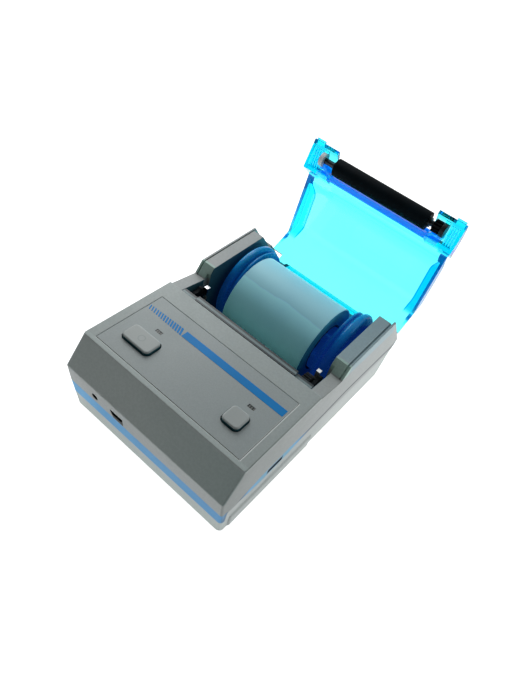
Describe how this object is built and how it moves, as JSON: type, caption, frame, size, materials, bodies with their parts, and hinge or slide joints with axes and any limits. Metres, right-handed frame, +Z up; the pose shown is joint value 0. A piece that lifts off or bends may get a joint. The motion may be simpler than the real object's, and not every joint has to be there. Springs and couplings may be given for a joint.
{
  "type": "portable thermal printer",
  "caption": "Compact desktop thermal label printer with a slanted nose, a paper roll on sliding holders and a clear blue hinged lid that carries the platen.",
  "frame": {"origin": "centre of the flat base", "axes": "+Z up, -Y towards the front with the buttons and ports, +X to the right seen from the front"},
  "size_m": [0.0966, 0.1716, 0.0964],
  "materials": {
    "housing_grey": "fine satin texture",
    "band_blue": "satin gloss",
    "panel_grey": "smooth satin film",
    "stripe_blue": "printed, satin",
    "window_dark": "smoked, polished",
    "board_green": "solder mask",
    "black_plastic": "fine texture",
    "steel": "ground",
    "cell_wrap": "shrink film",
    "aluminium": "milled",
    "ceramic_head": "glazed",
    "bright_metal": "bright",
    "dark_tray": "matte",
    "lid_blue_clear": "clear tinted, polished",
    "bushing_white": "moulded",
    "platen_rubber": "matte",
    "gear_black": "moulded",
    "button_grey": "satin",
    "holder_blue": "translucent, satin",
    "gear_white": "moulded",
    "label_paper": "coated, smooth",
    "core_card": "matte"
  },
  "bodies": {
    "housing": {"lower_shell": "housing_grey", "upper_shell": "housing_grey", "front_cover": "housing_grey", "belt_band": "band_blue", "panel_plate": "panel_grey", "stripe_bar": "stripe_blue", "stripe_ticks": "stripe_blue", "led_windows": "window_dark", "key_board": "board_green", "tact_switches": "black_plastic", "main_board": "board_green", "dc_jack": "black_plastic", "usb_socket": "steel", "card_socket": "steel", "battery_pack": "cell_wrap", "battery_door": "housing_grey", "case_screws": "steel", "tear_bar": "aluminium", "mechanism_frame": "black_plastic", "print_head": "ceramic_head", "head_heatsink": "aluminium", "head_leaf_springs": "steel", "feed_motor": "steel", "platen_catches": "bright_metal", "roll_tray": "dark_tray", "hinge_pins": "steel"},
    "lid": {"lid": "lid_blue_clear", "platen_bushings": "bushing_white"},
    "platen": {"platen_rubber": "platen_rubber", "platen_shaft": "steel", "platen_gear": "gear_black"},
    "power_button": {"power_button": "button_grey"},
    "feed_button": {"feed_button": "button_grey"},
    "left_holder": {"left_holder": "holder_blue", "left_rack": "holder_blue"},
    "right_holder": {"right_holder": "holder_blue", "right_rack": "holder_blue"},
    "left_hub": {"left_hub": "holder_blue"},
    "right_hub": {"right_hub": "holder_blue"},
    "holder_pinion": {"holder_pinion": "gear_white"},
    "paper_roll": {"paper_roll": "label_paper", "roll_core": "core_card"},
    "drive_gear": {"drive_gear": "gear_white"},
    "idler_gear": {"idler_gear": "gear_black"},
    "motor_rotor": {"motor_pinion": "bright_metal", "motor_shaft": "steel"}
  },
  "joints": [
    {"name": "lid_hinge", "type": "hinge", "parent": "housing", "child": "lid", "pos_m": [0, 0.0612, 0.028], "axis": [1, 0, 0], "range_deg": [0, 100]},
    {"name": "platen_spin", "type": "hinge", "parent": "lid", "child": "platen", "pos_m": [0, 0.08979, 0.08764], "axis": [1, 0, 0], "continuous": true},
    {"name": "power_button_press", "type": "slide", "parent": "housing", "child": "power_button", "axis": [0, 0.0269, -0.9996], "range_m": [0, 0.0007], "stiffness_N_per_m": 900, "springref_m": -0.0004},
    {"name": "feed_button_press", "type": "slide", "parent": "housing", "child": "feed_button", "axis": [0, 0.0269, -0.9996], "range_m": [0, 0.0007], "stiffness_N_per_m": 900, "springref_m": -0.0004},
    {"name": "left_holder_slide", "type": "slide", "parent": "housing", "child": "left_holder", "axis": [-1, 0, 0], "range_m": [0, 0.0026], "stiffness_N_per_m": 120, "springref_m": -0.002},
    {"name": "right_holder_slide", "type": "slide", "parent": "housing", "child": "right_holder", "axis": [1, 0, 0], "range_m": [0, 0.0026]},
    {"name": "holder_pinion_turn", "type": "hinge", "parent": "housing", "child": "holder_pinion", "pos_m": [0, 0.0275, 0.0024], "axis": [0, 0, 1], "range_deg": [0, 30]},
    {"name": "roll_spin", "type": "hinge", "parent": "housing", "child": "paper_roll", "pos_m": [0, 0.0275, 0.0325], "axis": [1, 0, 0], "continuous": true},
    {"name": "left_hub_spin", "type": "hinge", "parent": "left_holder", "child": "left_hub", "pos_m": [-0.03, 0.0275, 0.0325], "axis": [1, 0, 0], "continuous": true},
    {"name": "right_hub_spin", "type": "hinge", "parent": "right_holder", "child": "right_hub", "pos_m": [0.03, 0.0275, 0.0325], "axis": [1, 0, 0], "continuous": true},
    {"name": "drive_spin", "type": "hinge", "parent": "housing", "child": "drive_gear", "pos_m": [0.0344, -0.00533, 0.03569], "axis": [1, 0, 0], "continuous": true},
    {"name": "idler_spin", "type": "hinge", "parent": "housing", "child": "idler_gear", "pos_m": [0.0344, -0.01707, 0.03141], "axis": [1, 0, 0], "continuous": true},
    {"name": "motor_spin", "type": "hinge", "parent": "housing", "child": "motor_rotor", "pos_m": [0.0344, -0.02459, 0.03415], "axis": [1, 0, 0], "continuous": true}
  ],
  "couplings": [
    {"joint": "right_holder_slide", "follows": "left_holder_slide", "ratio": 1},
    {"joint": "holder_pinion_turn", "follows": "left_holder_slide", "rad_per_m": 200},
    {"joint": "left_hub_spin", "follows": "roll_spin", "ratio": 1},
    {"joint": "right_hub_spin", "follows": "roll_spin", "ratio": 1},
    {"joint": "drive_spin", "follows": "platen_spin", "ratio": -0.4},
    {"joint": "idler_spin", "follows": "platen_spin", "ratio": 0.6},
    {"joint": "motor_spin", "follows": "platen_spin", "ratio": -1}
  ]
}
